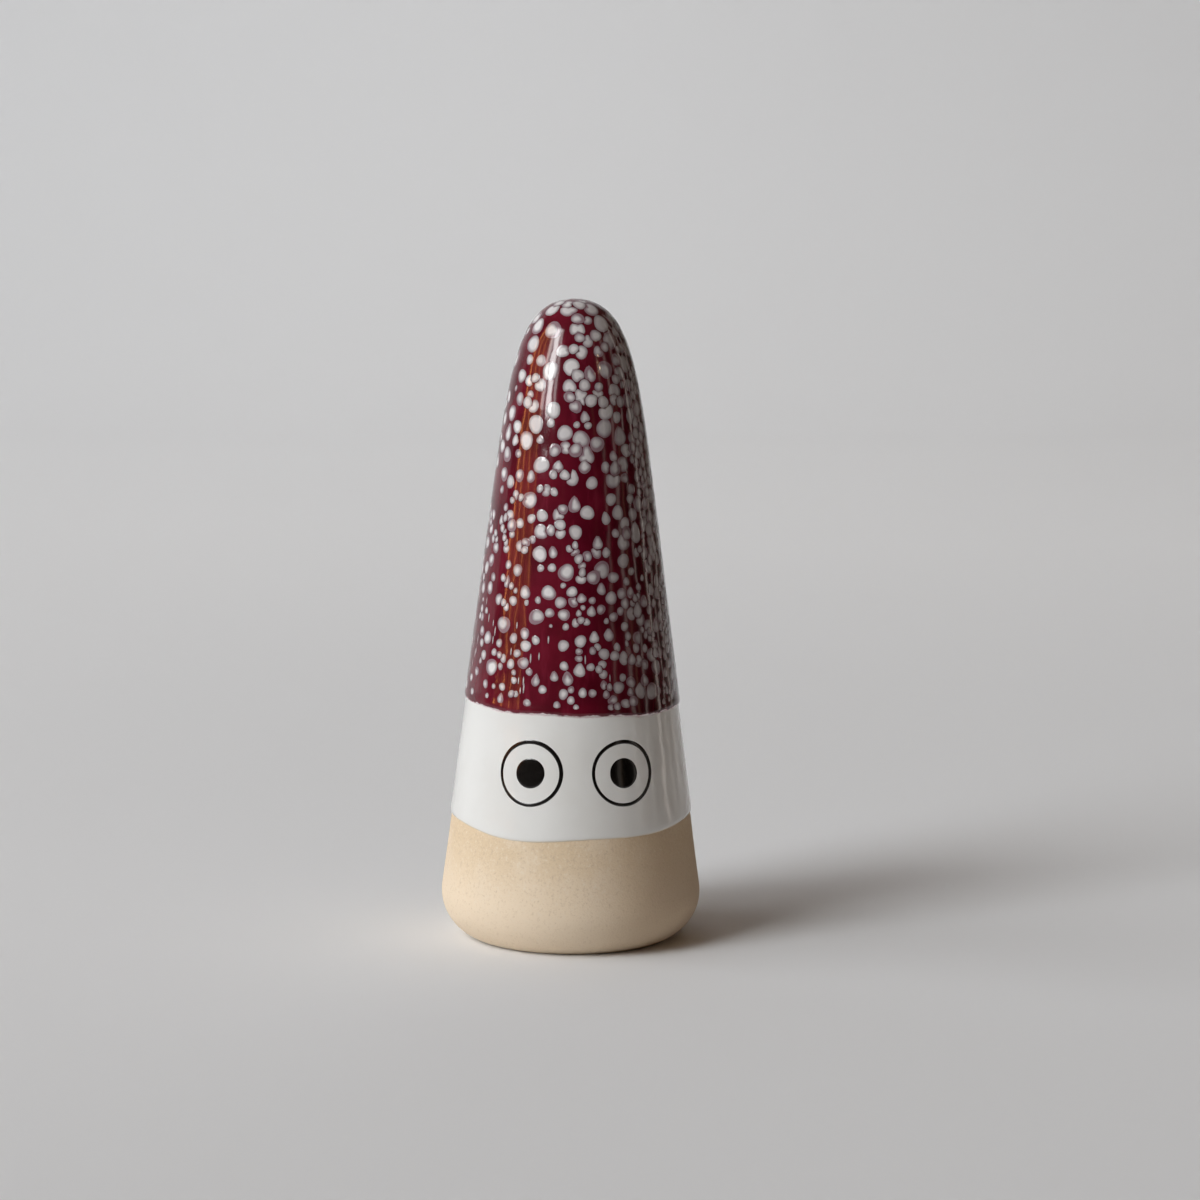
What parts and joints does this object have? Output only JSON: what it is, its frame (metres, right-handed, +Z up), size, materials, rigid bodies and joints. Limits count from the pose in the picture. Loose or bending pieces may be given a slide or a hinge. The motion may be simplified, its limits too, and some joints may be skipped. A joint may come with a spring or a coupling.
{
  "type": "ceramic ghost figurine",
  "caption": "Small standing ghost ornament: a hollow stoneware cone with a rounded top, bare clay foot, white glaze band with ring eyes, and a spotted dark red glaze hood.",
  "frame": {"origin": "centre of the foot, on the surface that the figurine stands on", "axes": "+Z up along the axis of the turned form, -Y the way the face looks, +X to the viewer's right"},
  "size_m": [0.0468, 0.0468, 0.115],
  "materials": {
    "bare_stoneware": "unglazed, matt, finely sandy",
    "white_glaze": "glossy white glaze",
    "red_glaze": "glossy burgundy glaze with pale spots",
    "black_enamel": "black enamel fired onto the glaze"
  },
  "bodies": {
    "root": {"clay_body": "bare_stoneware", "white_glaze_coat": "white_glaze", "red_glaze_coat": "red_glaze", "left_eye_ring": "black_enamel", "left_eye_pupil": "black_enamel", "right_eye_ring": "black_enamel", "right_eye_pupil": "black_enamel"}
  },
  "joints": []
}
